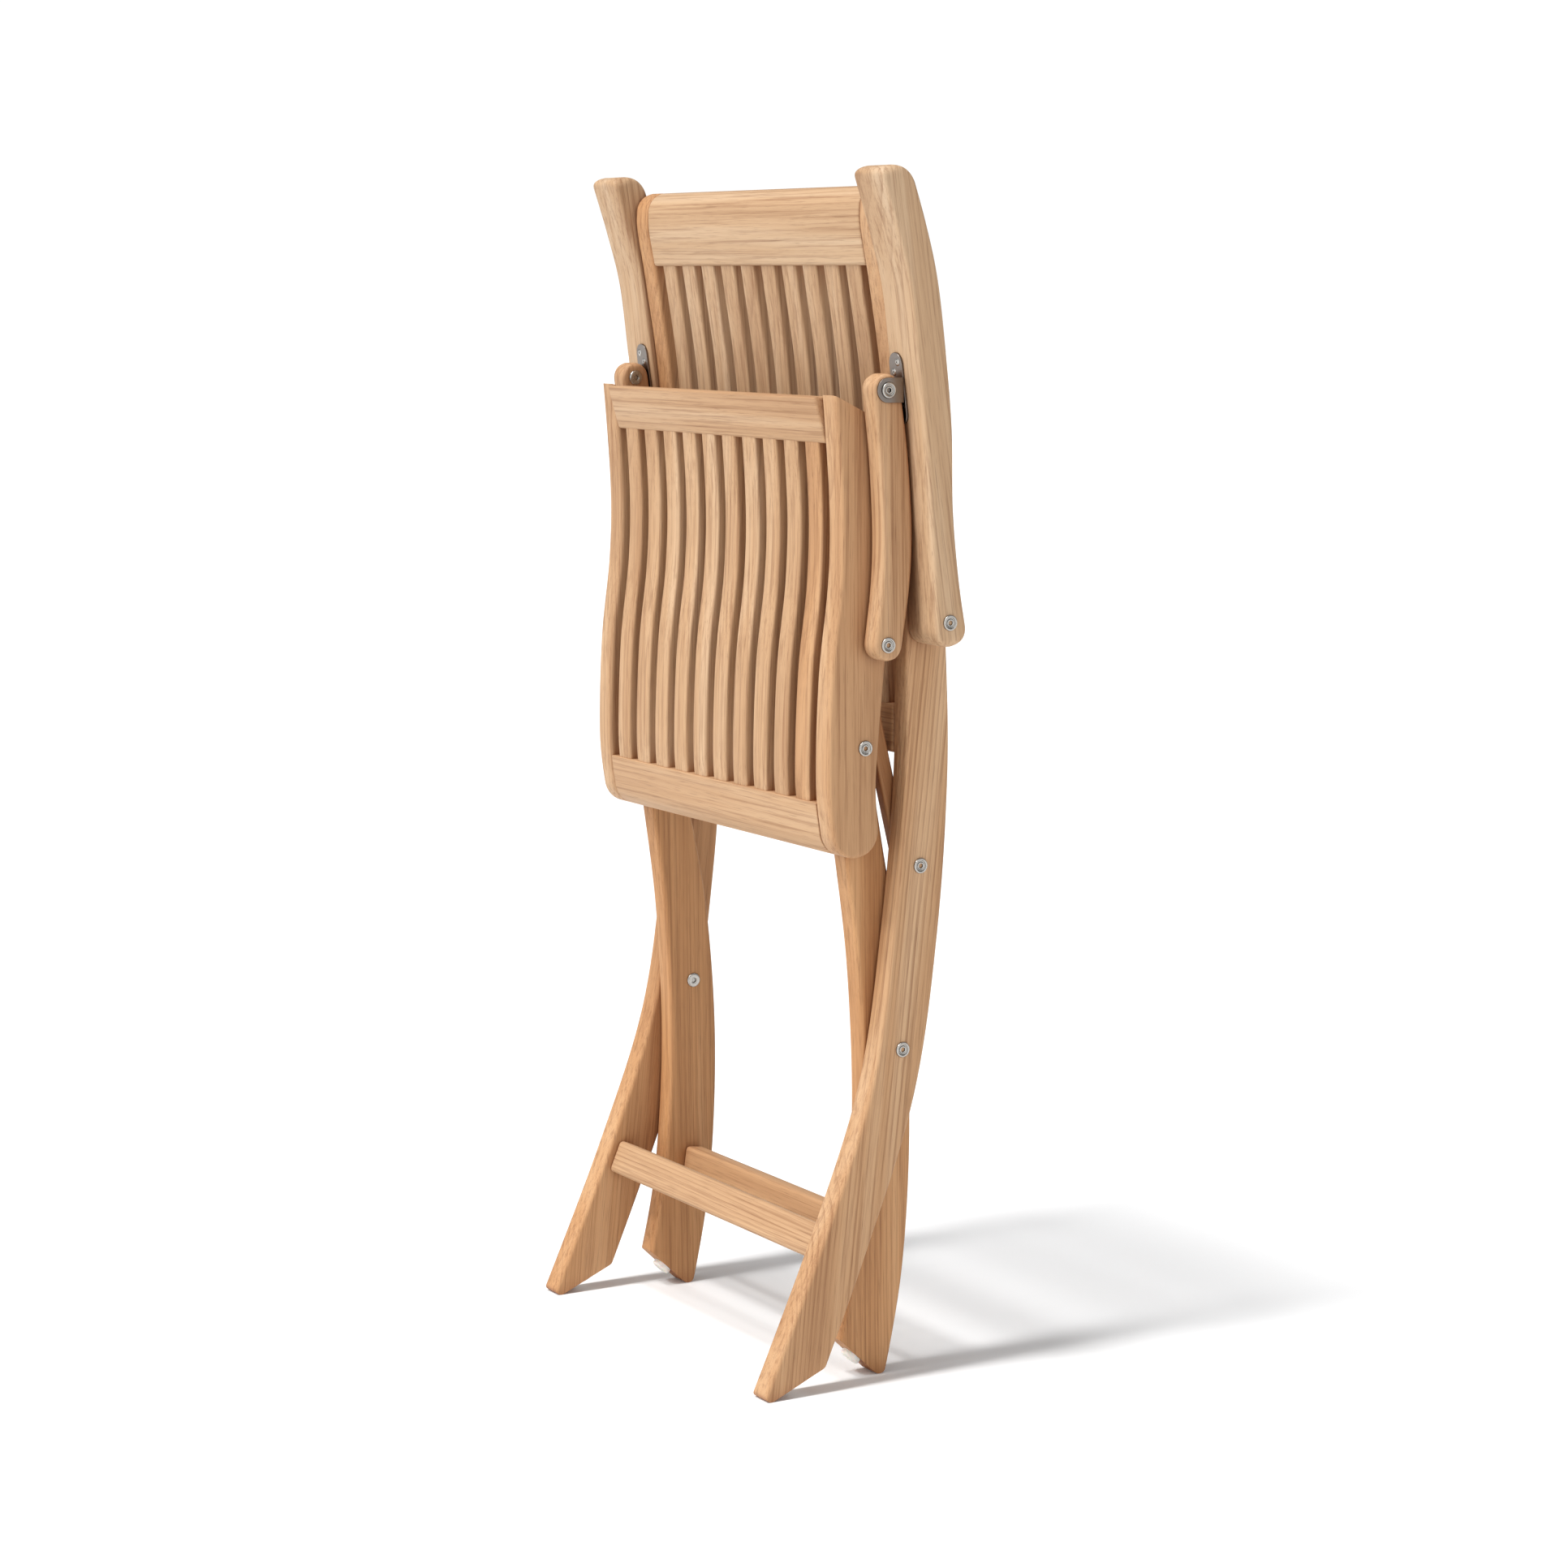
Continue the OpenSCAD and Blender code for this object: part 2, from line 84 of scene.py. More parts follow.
SEAT_REAR_RAIL = [(-31, SEAT_REAR_Z), (-43, 899), (-21, 899), (-8, SEAT_REAR_Z)]
SEAT_REAR_TOP, SEAT_REAR_SLOPE = (-34, 900), math.radians(26)
FRONT_BAR, FRONT_BAR_LEAN = (-29.5, 131.5), 23
REAR_BAR, REAR_BAR_LEAN = (37, 124.5), 8
BAR_SIZE = (20.0, 32.0)
BACK_INSET, SEAT_INSET = 2.0, 1.5           # slats lie this far under the front edge
LET_IN = 2.0                                # slats reach this far into the rails

# Roundings, and steps along curves.
EDGE_R, ARM_EDGE_R, LINK_EDGE_R, SLAT_EDGE_R = 4.0, 3.8, 2.5, 2.5
FOOT_BEVEL, SEAT_REAR_BEVEL = 1.8, 1.5
LINE_STEPS, SLAT_LINE_STEPS, TIP_STEPS, END_STEPS = 10, 12, 9, 14

# ---- Curves -------------------------------------------------------------------------------------


def spline(points, steps=LINE_STEPS):
    """Catmull-Rom line through (y, z, width) points, as vectors."""
    p = [Vector(q) for q in points]
    out = []
    for i in range(len(p) - 1):
        p0, p1, p2, p3 = p[max(i - 1, 0)], p[i], p[i + 1], p[min(i + 2, len(p) - 1)]
        for k in range(steps):
            u = k / steps
            out.append(0.5 * (2 * p1 + (p2 - p0) * u + (2 * p0 - 5 * p1 + 4 * p2 - p3) * u * u
                              + (3 * p1 - p0 - 3 * p2 + p3) * u ** 3))
    out.append(p[-1])
    return out


def tangent(line, i):
    a, b = line[max(i - 1, 0)], line[min(i + 1, len(line) - 1)]
    return Vector((b[0] - a[0], b[1] - a[1])).normalized()


def fillet(depth, r):
    """How far a rounded end of radius r draws the sides in, at this depth from its tip."""
    if depth >= r:
        return 0.0
    return r - math.sqrt(max(r * r - (r - depth) ** 2, 0.0))


# ---- Mesh building ------------------------------------------------------------------------------


def new_object(name, bm):
    mesh = bpy.data.meshes.new(name)
    bmesh.ops.recalc_face_normals(bm, faces=bm.faces)
    bm.to_mesh(mesh)
    bm.free()
    obj = bpy.data.objects.new(name, mesh)
    bpy.context.scene.collection.objects.link(obj)
    for f in mesh.polygons:
        f.use_smooth = True
    return obj


def at(x, y, z):
    """Row-frame point in metres for a side-view point in mm."""
    return Vector((x * MM, (y + Y_MID) * MM, z * MM))


def section(centre, normal, half, x0, x1, r, corner_steps=5):
    """Rounded rectangle across a board, half wide to each side along normal, from x0 to x1."""
    r = max(min(r, half * 0.999, (x1 - x0) * 0.499), 0.001)
    pts = []
    for sx, sn, start in ((1, 1, 0), (-1, 1, 90), (-1, -1, 180), (1, -1, 270)):
        cx = (x1 - r) if sx > 0 else (x0 + r)
        cn = sn * (half - r)
        for k in range(corner_steps + 1):
            a = math.radians(start + 90 * k / corner_steps)
            x = cx + r * math.cos(a)
            n = cn + r * math.sin(a)
            pts.append(at(x, centre[0] + normal[0] * n, centre[1] + normal[1] * n))
    return pts


def skin(name, sections):
    """Closed mesh through a list of sections with the same number of points."""
    bm = bmesh.new()
    rings = [[bm.verts.new(p) for p in ring] for ring in sections]
    n = len(rings[0])
    for a, b in zip(rings, rings[1:]):
        for k in range(n):
            bm.faces.new((a[k], a[(k + 1) % n], b[(k + 1) % n], b[k]))
    bm.faces.new(rings[0][::-1])
    bm.faces.new(rings[-1])
    return new_object(name, bm)


def board_sections(points, x0, x1, r, first_end, last_end, corner=0.0):
    """Sections along a curved board whose long edges are rounded by r.

    An end is "cut", "round" for a half circle, or the radii of its rear and front corners, which
    the last end may have. corner rounds both ends as seen from the front.
    """
    line = spline(points)
    stations = []
    length = 0.0
    for i, c in enumerate(line):
        t = tangent(line, i)
        if i:
            length += (Vector(c[:2]) - Vector(line[i - 1][:2])).length
        stations.append([Vector(c[:2]), Vector((t[1], -t[0])), c[2] / 2, length])
    half_turn = [10, 20, 30, 40, 50, 60, 70, 80, 86.5, 89]
    for first in (True, False):
        if (first_end if first else last_end) != "round":
            continue
        end, normal, radius, s_end = stations[0 if first else -1]
        outwards = Vector((-normal[1], normal[0])) * (-1 if first else 1)
        extra = []
        for a in half_turn:
            step = radius * math.sin(math.radians(a))
            extra.append([end + outwards * step, normal, radius * math.cos(math.radians(a)),
                          s_end - step if first else s_end + step])
        stations = extra[::-1] + stations if first else stations + extra
    s_first = stations[0][3] if first_end == "round" else -math.inf
    s_last = math.inf if last_end == "cut" else stations[-1][3]
    corners = (0.0, 0.0) if isinstance(last_end, str) else last_end
    if max(corners):
        stations = finer_end(stations, max(corners))
    out = []
    for centre, normal, half, s in stations:
        depth = min(s - s_first, s_last - s)
        draw = max(fillet(depth, r), fillet(depth, corner)) if corner else fillet(depth, r)
        rear, front = (fillet(s_last - s, c) for c in corners)
        middle = centre + normal * (front - rear) / 2
        out.append(section(middle, normal, half - (front + rear) / 2, x0 + draw, x1 - draw, r))
    return out


def finer_end(stations, reach):
    """Replaces the stations within reach of the end with closer ones, closest at the end."""
    end = stations[-1][3]
    kept = [q for q in stations if q[3] < end - reach]
    for k in range(END_STEPS + 1):
        s = end - reach * (1 - math.sin(math.radians(90 * k / END_STEPS)))
        i = next(i for i in range(1, len(stations)) if stations[i][3] >= s - 1e-9)
        a, b = stations[i - 1], stations[i]
        u = (s - a[3]) / (b[3] - a[3])
        kept.append([a[n] + (b[n] - a[n]) * u for n in range(4)])
    return kept


def cut(obj, point, normal, below=None):
    """Slices away the part of obj on the normal's side of a plane in the side view, given in mm.

    below keeps the cut to what lies under this height.
    """
    bm = bmesh.new()
    bm.from_mesh(obj.data)
    geom = bm.verts[:] + bm.edges[:] + bm.faces[:]
    if below is not None:
        low = {v for v in bm.verts if v.co.z < below * MM}
        geom = [g for g in geom if (g in low if isinstance(g, bmesh.types.BMVert)
                                    else all(v in low for v in g.verts))]
    done = bmesh.ops.bisect_plane(bm, geom=geom,
                                  plane_co=at(0, *point), plane_no=Vector((0, *normal)),
                                  clear_outer=True, dist=1e-7)
    edges = [e for e in done["geom_cut"] if isinstance(e, bmesh.types.BMEdge)]
    bmesh.ops.holes_fill(bm, edges=edges, sides=0)
    bmesh.ops.recalc_face_normals(bm, faces=bm.faces)
    bm.to_mesh(obj.data)
    bm.free()
    for f in obj.data.polygons:
        f.use_smooth = True


def prism(name, outline, x0, x1):
    """Side-view outline in mm, drawn out along X."""
    bm = bmesh.new()
    a = [bm.verts.new(at(x0, *p)) for p in outline]
    b = [bm.verts.new(at(x1, *p)) for p in outline]
    n = len(a)
    for k in range(n):
        bm.faces.new((a[k], a[(k + 1) % n], b[(k + 1) % n], b[k]))
    bm.faces.new(a[::-1])
    bm.faces.new(b)
    return new_object(name, bm)


def bevel(obj, width, segments, angle=35):
    mod = obj.modifiers.new("edges", "BEVEL")
    mod.width = width * MM
    mod.segments = segments
    mod.limit_method = "ANGLE"
    mod.angle_limit = math.radians(angle)
    mod.harden_normals = False
    mod.use_clamp_overlap = True
    mod.miter_outer = "MITER_ARC"
    return obj


def smooth_by_angle(obj, angle=38):
    """Keeps real corners crisp: splits the shading where faces meet above this angle."""
    bm = bmesh.new()
    bm.from_mesh(obj.data)
    for e in bm.edges:
        if len(e.link_faces) == 2:
            e.smooth = e.calc_face_angle(0.0) < math.radians(angle)
    bm.to_mesh(obj.data)
    bm.free()


def mirror_x(obj, name):
    """A mirrored copy with its own mesh."""
    mesh = obj.data.copy()
    mesh.transform(Matrix.Scale(-1, 4, (1, 0, 0)))
    mesh.flip_normals()
    other = bpy.data.objects.new(name, mesh)
    bpy.context.scene.collection.objects.link(other)
    for m in obj.modifiers:
        c = other.modifiers.new(m.name, m.type)
        for key in ("width", "segments", "limit_method", "angle_limit", "miter_outer"):
            if hasattr(m, key):
                setattr(c, key, getattr(m, key))
    return other


# ---- Wood ---------------------------------------------------------------------------------------

wood_pieces = []


def plank(obj, along, seed, tone):
    """Stores where each point lies in its plank, so that the grain runs along it.

    along is the direction of the grain in the row frame, seed moves the pattern and tone shifts
    its shade.
    """
    z = Vector(along).normalized()
    side = Vector((1, 0, 0)) if abs(z.x) < 0.9 else Vector((0, 1, 0))
    y = z.cross(side).normalized()
    x = y.cross(z).normalized()
    shift = Vector((seed * 0.731 % 5.0, seed * 1.193 % 5.0, seed * 2.417 % 5.0))
    data = obj.data
    grain = data.attributes.new("grain", "FLOAT_VECTOR", "POINT")
    values = []
    for v in data.vertices:
        p = v.co
        values += [p.dot(x) + shift.x, p.dot(y) + shift.y, p.dot(z) + shift.z]
    grain.data.foreach_set("vector", values)
    shade = data.attributes.new("tone", "FLOAT", "POINT")
    shade.data.foreach_set("value", [tone] * len(data.vertices))
    wood_pieces.append(obj)


def chord(points):
    return (0, points[-1][0] - points[0][0], points[-1][1] - points[0][1])


def stand_in(obj, node, body):
    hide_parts(node)
    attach(obj, body)
    return obj


# Tones, -1 rich to 1 pale, of the larger pieces: partly their own teak, partly painted shade on
# pieces mostly seen in shade. Slats vary from one to the next.
PIECE_TONES_AND_SHADE = {"upright_right": -0.5, "upright_left": -0.75, "rear_leg": -0.9, "seat_rail_right": -0.5,
         "seat_rail_left": -0.25, "armrest": 0.0, "arm_support": -0.35, "seat_link": -0.8,
         "back_top_rail": 0.1, "back_bottom_rail": -0.5, "seat_front_rail": -0.25,
         "seat_rear_rail": -0.25, "front_stretcher": -0.2, "rear_stretcher": -0.45}


SLAT_TONE_LOW, SLAT_TONE_SPREAD = -0.7, 0.9


def tone_of(node):
    """A piece's tone, and the seed that moves its grain, both settled by its name."""
    h = 0
    for ch in node:
        h = (h * 131 + ord(ch)) % 9973
    seed = 1 + h % 61 + (h % 13) / 13
    for name, tone in PIECE_TONES_AND_SHADE.items():
        if node.startswith(name):
            return tone, seed
    return SLAT_TONE_SPREAD * ((h % 997) / 996) + SLAT_TONE_LOW, seed


def board(node, body, points, x0, x1, r, ends, corner=0.0, cuts=(), edge=None, below=None):
    """A curved board and its mirror image, each standing for its CAD node."""
    obj = skin(node + "_right_wood", board_sections(points, x0, x1, r, ends[0], ends[1], corner))
    for point, normal in cuts:
        cut(obj, point, normal, below)
    if cuts:
        bevel(obj, edge, 3, 50)
    other = mirror_x(obj, node + "_left_wood")
    for side, o in (("right", obj), ("left", other)):
        name = node + "_" + side
        tone, seed = tone_of(name)
        plank(o, chord(points), seed, tone)
        stand_in(o, name, body.replace("*", side))


def slope_normal(deg):
    """Outward normal, facing down, of a foot cut that rises towards the back by deg."""
    a = math.radians(deg)
    return (math.sin(a), -math.cos(a))


def foot_cuts(tip, slope, direction, r, lean):
    """Planes of a foot: its oblique cut, then tangents round its tip of radius r.

    direction is the way that the foot points along y. The tip's circle touches the cut and the
    floor, and the foot's outer edge faces lean degrees down from level.
    """
    centre = (tip[0] + direction * r * math.tan(math.radians(slope / 2)), r)
    planes = [(tip, slope_normal(-direction * slope))]
    for k in range(1, TIP_STEPS):
        a = math.radians(270 - slope + (90 + slope - lean) * k / TIP_STEPS)
        n = (direction * math.cos(a), math.sin(a))
        planes.append(((centre[0] + r * n[0], centre[1] + r * n[1]), n))
    return planes


board("upright", "frame", UPRIGHT_LINE, RAIL_IN, RAIL_OUT, EDGE_R, ("cut", "round"),
      cuts=foot_cuts(FRONT_TIP, FRONT_CUT, -1, FRONT_TIP_R, FRONT_LEAN), edge=FOOT_BEVEL,
      below=FOOT_TOP)
board("rear_leg", "rear_legs", REAR_LEG_LINE, LEG_IN, LEG_OUT, EDGE_R, ("cut", "round"),
      cuts=foot_cuts(REAR_TIP, REAR_CUT, 1, REAR_TIP_R, REAR_LEAN), edge=FOOT_BEVEL,
      below=FOOT_TOP)
board("seat_rail", "seat", SEAT_LINE, RAIL_IN, RAIL_OUT, EDGE_R, ("round", "cut"),
      cuts=((SEAT_REAR_TOP, (math.sin(SEAT_REAR_SLOPE), math.cos(SEAT_REAR_SLOPE))),),
      edge=SEAT_REAR_BEVEL)
board("armrest", "armrest_*", ARM_LINE, ARM_IN, ARM_OUT, ARM_EDGE_R,
      ("round", (ARM_REAR_R, ARM_FRONT_R)), corner=ARM_CORNER)
board("arm_support", "support_*", SUPPORT_LINE, SUPPORT_IN, SUPPORT_OUT, EDGE_R,
      ("round", "round"))
board("seat_link", "link_*", [(*LINK, LINK_W), (*SEAT, LINK_W)], LINK_IN, LEG_OUT, LINK_EDGE_R,
      ("round", "round"))

# ---- Slats --------------------------------------------------------------------------------------


def strip(points, z0, z1, inset, thick):
    """Centre line of a slat lying inset mm under the front edge of a board, from z0 to z1."""
    line = spline(points, SLAT_LINE_STEPS)
    out = []
    for i, c in enumerate(line):
        t = tangent(line, i)
        n = Vector((-t[1], t[0]))
        k = c[2] / 2 - inset - thick / 2
        p = Vector(c[:2]) + n * k
        if z0 <= p[1] <= z1:
            out.append((p[0], p[1], thick))
    ends = []
    for e, ref, z in ((out[0], out[1], z0), (out[-1], out[-2], z1)):
        u = (z - e[1]) / (e[1] - ref[1])
        ends.append((e[0] + (e[0] - ref[0]) * u, z, thick))
    return [ends[0], *out, ends[1]]


def slat(node, body, line, x0, x1):
    sections = []
    for i, c in enumerate(line):
        t = tangent(line, i)
        sections.append(section(Vector(c[:2]), Vector((t[1], -t[0])), c[2] / 2, x0, x1,
                                SLAT_EDGE_R, 4))
    obj = skin(node + "_wood", sections)
    smooth_by_angle(obj)
    tone, seed = tone_of(node)
    plank(obj, chord(line), seed, tone)
    return stand_in(obj, node, body)


back_line = strip(UPRIGHT_LINE, BOTTOM_RAIL_Z[1] - LET_IN, TOP_RAIL_Z + LET_IN, BACK_INSET, SLAT_T)
seat_line = strip(SEAT_LINE, SEAT_FRONT_Z - LET_IN, SEAT_REAR_Z + LET_IN, SEAT_INSET, SLAT_T)
for i in range(SLAT_N):
    x0 = -RAIL_IN + SLOT_W + i * (SLAT_W + SLOT_W)
    slat(f"back_slat_{i + 1}", "frame", back_line, x0, x0 + SLAT_W)
    slat(f"seat_slat_{i + 1}", "seat", seat_line, x0, x0 + SLAT_W)

# ---- Cross rails --------------------------------------------------------------------------------


def edge_line(points, k):
    """Points k mm inside a board's front edge."""
    line = spline(points)
    out = []
    for i, c in enumerate(line):
        t = tangent(line, i)
        n = Vector((t[1], -t[0]))
        out.append(Vector(c[:2]) - n * (c[2] / 2 - k))
    return out


def between(pts, z0, z1):
    """The stretch of a rising line of points from z0 to z1, ends found by interpolation."""
    out = []
    for a, b in zip(pts, pts[1:]):
        for z in (z0, z1):
            if min(a[1], b[1]) < z <= max(a[1], b[1]):
                u = (z - a[1]) / (b[1] - a[1])
                out.append(a + (b - a) * u)
        if z0 < b[1] < z1:
            out.append(b)
    return sorted(out, key=lambda p: p[1])


def rail(node, body, outline, reach, edge):
    obj = prism(node + "_wood", outline, -reach, reach)
    bevel(obj, edge, 4)
    tone, seed = tone_of(node)
    plank(obj, (1, 0, 0), seed, tone)
    return stand_in(obj, node, body)


def top_rail_outline():
    """The back's top rail: flush with the uprights' front edges and their rounded tops."""
    c = Vector(UPRIGHT_LINE[-1][:2])
    r = UPRIGHT_LINE[-1][2] / 2
    front = between(edge_line(UPRIGHT_LINE, 0), TOP_RAIL_Z, c[1])
    arc = []
    steps = 18
    for k in range(1, steps):
        a = math.radians(180 - 180 * k / steps)
        p = c + Vector((r * math.cos(a), r * math.sin(a)))
        if p[0] < front[-1][0] + TOP_RAIL_T:
            arc.append(p)
    back = between(edge_line(UPRIGHT_LINE, TOP_RAIL_T), TOP_RAIL_Z, arc[-1][1] - 1)
    return [tuple(p) for p in front + arc + back[::-1]]


def band(points, z0, z1, a, b):
    """Closed outline of the layer from a to b mm under a board's front edge, from z0 to z1."""
    front = between(edge_line(points, a), z0, z1)
    back = between(edge_line(points, b), z0, z1)
    return [tuple(p) for p in front + back[::-1]]


rail("back_top_rail", "frame", top_rail_outline(), RAIL_IN, 3.0)
rail("back_bottom_rail", "frame", band(UPRIGHT_LINE, *BOTTOM_RAIL_Z, 0, BOTTOM_RAIL_T),
     RAIL_IN, 3.5)


def nose_outline():
    """The seat's front rail: the rounded front end of the side rails, cut off behind."""
    rear_y = SEAT_FRONT_RAIL_REAR_Y
    c = Vector(SEAT_LINE[0][:2])
    r = SEAT_LINE[0][2] / 2
    front = between(edge_line(SEAT_LINE, 0), SEAT_LINE[0][1], SEAT_FRONT_Z)
    pts = []
    start = math.atan2(front[0][1] - c[1], front[0][0] - c[0])
    step = math.radians(4)
    for k in range(40):
        a = start + step * k
        p = c + Vector((r * math.cos(a), r * math.sin(a)))
        if p[0] > rear_y:
            break
        pts.append(p)
    bottom = Vector((rear_y, c[1] - math.sqrt(r * r - (rear_y - c[0]) ** 2)))
    out = front[::-1] + pts[1:] + [bottom, Vector((rear_y, SEAT_FRONT_Z))]
    return [tuple(p) for p in out]


rail("seat_front_rail", "seat", nose_outline(), RAIL_IN, 2.5)
rail("seat_rear_rail", "seat", SEAT_REAR_RAIL, RAIL_IN, 2.5)


def bar_outline(p, lean):
    """A stretcher's section about the side-view point p, its top leaning back by lean degrees."""
    a = math.radians(-lean)
    out = []
    for sy, sz in ((-1, -1), (1, -1), (1, 1), (-1, 1)):
        y, z = sy * BAR_SIZE[0] / 2, sz * BAR_SIZE[1] / 2
        out.append((p[0] + y * math.cos(a) - z * math.sin(a),
                    p[1] + y * math.sin(a) + z * math.cos(a)))
    return out


rail("front_stretcher", "frame", bar_outline(FRONT_BAR, FRONT_BAR_LEAN), RAIL_IN, 4.0)
rail("rear_stretcher", "rear_legs", bar_outline(REAR_BAR, REAR_BAR_LEAN), LEG_IN, 4.0)

# ---- Fixings ------------------------------------------------------------------------------------

TURN = 36               # facets round a fixing


def lathe(profile):
    """Rings of (radius, height) about +Z as a bmesh, closed where the radius is 0.

    A third value of True makes the ring a hexagon of that radius.
    """
    bm = bmesh.new()
    rings = []
    for r, h, *six in profile:
        if r == 0:
            rings.append([bm.verts.new((0, 0, h * MM))])
            continue
        ring = []
        for k in range(TURN):
            a = 2 * math.pi * k / TURN
            d = r
            if six:
                d = r * math.cos(math.pi / 6) / math.cos(a % (math.pi / 3) - math.pi / 6)
            ring.append(bm.verts.new((d * MM * math.cos(a), d * MM * math.sin(a), h * MM)))
        rings.append(ring)
    for a, b in zip(rings, rings[1:]):
        for k in range(TURN):
            j = (k + 1) % TURN
            if len(a) == 1:
                bm.faces.new((a[0], b[k], b[j]))
            elif len(b) == 1:
                bm.faces.new((a[k], a[j], b[0]))
            else:
                bm.faces.new((a[k], a[j], b[j], b[k]))
    return bm


def place(bm, matrix):
    bm.transform(matrix)
    return bm


def merge(name, parts):
    """One object from several bmeshes."""
    bm = bmesh.new()
    for part in parts:
        mesh = bpy.data.meshes.new("part")
        part.to_mesh(mesh)
        part.free()
        bm.from_mesh(mesh)
        bpy.data.meshes.remove(mesh)
    obj = new_object(name, bm)
    smooth_by_angle(obj, 35)
    return obj


def out_x(x, p, sign):
    """Places a part drawn about +Z at side-view point p, pointing along X to the given side."""
    return Matrix.Translation(at(sign * x, *p)) @ Matrix.Rotation(sign * math.pi / 2, 4, "Y")


def shank(length):
    """The start of a fixing's profile: its pin, from the far end up to the head's underside."""
    if not length:
        return [(0, 0)]
    return [(0, -length), (PIN_R, -length), (PIN_R, 0)]


def bolt_head(length):
    """A low round head with a raised rim, a dished ring and a deep hexagon socket."""
    r, h = HEAD_R, HEAD_H
    rim = [(r - 0.2, 0), (r, 0.2), (r, h - 0.7), (r - 0.15, h - 0.35), (r - 0.45, h - 0.1),
           (r - 0.85, h), (r - 1.4, h), (r - 1.7, h - 0.12)]
    dish = [(r - 1.95, h - 0.45), (r - 2.1, h - 0.95), (r - 2.5, h - 1.15), (3.8, h - 1.15),
            (3.55, h - 0.95), (3.35, h - 0.55), (3.1, h - 0.4), (2.75, h - 0.4)]
    socket = [(2.4, h - 0.6, True), (2.35, h - 4.4, True), (0, h - 5.0)]
    return lathe(shank(length) + rim + dish + socket)


def cap_nut(length):
    """A low domed nut."""
    r, h = HEAD_R, HEAD_H
    return lathe(shank(length) + [
        (r - 0.15, 0), (r, 0.15), (r, h - 1.0), (r - 0.3, h - 0.45), (r - 0.9, h - 0.12),
        (r - 1.8, h), (2.9, h), (2.6, h - 0.3, True), (2.5, h - 1.3, True), (0, h - 1.4)])


def bolt_set(node, body, places):
    """places: (side-view point, x of the face, outward direction, kind, shank length) of each."""
    shapes = {"head": bolt_head, "nut": cap_nut,
              "pin": lambda length: lathe([*shank(length), (0, 0)])}
    parts = [place(shapes[kind](length), out_x(x, p, sign)) for p, x, sign, kind, length in places]
    obj = merge(node + "_steel", parts)
    steel.append(stand_in(obj, node, body))


def fixing(p, x_in, x_out, sign):
    """A bolt from its cap nut on the inner face to its head on the outer face.

    out_x() measures x the way that a fixing points, so the inner face of a nut is at -x_in.
    """
    return [(p, x_out, sign, "head", x_out - x_in), (p, -x_in, -sign, "nut", 0)]


steel = []
SIDES = (("right", 1), ("left", -1))
bolt_set("cross_bolts", "rear_legs", [fixing(CROSS, LEG_IN, RAIL_OUT, s)[0] for _, s in SIDES])
bolt_set("rear_leg_nuts", "rear_legs",
         [(p, -LEG_IN, -s, "nut", 0) for _, s in SIDES for p in (CROSS, FRONT)]
         + [(FRONT, LEG_OUT, s, "pin", LEG_OUT - LEG_IN) for _, s in SIDES])
bolt_set("seat_bolts", "seat",
         [(FRONT, RAIL_OUT, s, "head", RAIL_OUT - RAIL_IN) for _, s in SIDES]
         + [q for _, s in SIDES for q in fixing(SEAT, LINK_IN, SUPPORT_OUT, s)])
for side, s in SIDES:
    bolt_set(f"arm_bolts_{side}", f"armrest_{side}",
             fixing(ARM, RAIL_IN, ARM_OUT, s) + fixing(SUPPORT, SUPPORT_IN, LUG_OUT, s))
    bolt_set(f"link_bolt_{side}", f"link_{side}", fixing(LINK, LINK_IN, RAIL_OUT, s))

# ---- Brackets -----------------------------------------------------------------------------------

BRACKET_X, BRACKET_Y, BRACKET_LEAN = (SUPPORT_IN + SUPPORT_OUT) / 2 + 2, 21.5, 7.5
PLATE_W, PLATE_H, LUG_H, BEND_R = 20.0, 64.0, 22.0, 4.0
BRACKET_Z = SUPPORT[1] + 1
SCREW_HEAD_R, SCREW_FROM_END = 3.4, 13.0
SCREW_STEP = (3.4, 4.4)                     # each screw's place from its pair's middle


def flat_plate(outline, thick):
    """Outline in mm drawn out along +Z, from z = 0 to thick."""
    bm = bmesh.new()
    a = [bm.verts.new((x * MM, y * MM, 0)) for x, y in outline]
    b = [bm.verts.new((x * MM, y * MM, thick * MM)) for x, y in outline]
    n = len(a)
    for k in range(n):
        bm.faces.new((a[k], a[(k + 1) % n], b[(k + 1) % n], b[k]))
    bm.faces.new(a[::-1])
    bm.faces.new(b)
    return bm


def stadium(w, h):
    """Outline of a strip w wide and h long with round ends."""
    steps = 16
    out = []
    for end, start in ((1, 0), (-1, 180)):
        for k in range(steps + 1):
            a = math.radians(start + 180 * k / steps)
            out.append((w / 2 * math.cos(a), end * (h - w) / 2 + w / 2 * math.sin(a)))
    return out


def arm_face(sign):
    """Places a part drawn on z = 0 at the bracket's middle, lying on the armrest's face."""
    return (Matrix.Translation(at(sign * BRACKET_X, BRACKET_Y, BRACKET_Z))
            @ Matrix.Rotation(math.radians(90 + BRACKET_LEAN), 4, "X"))


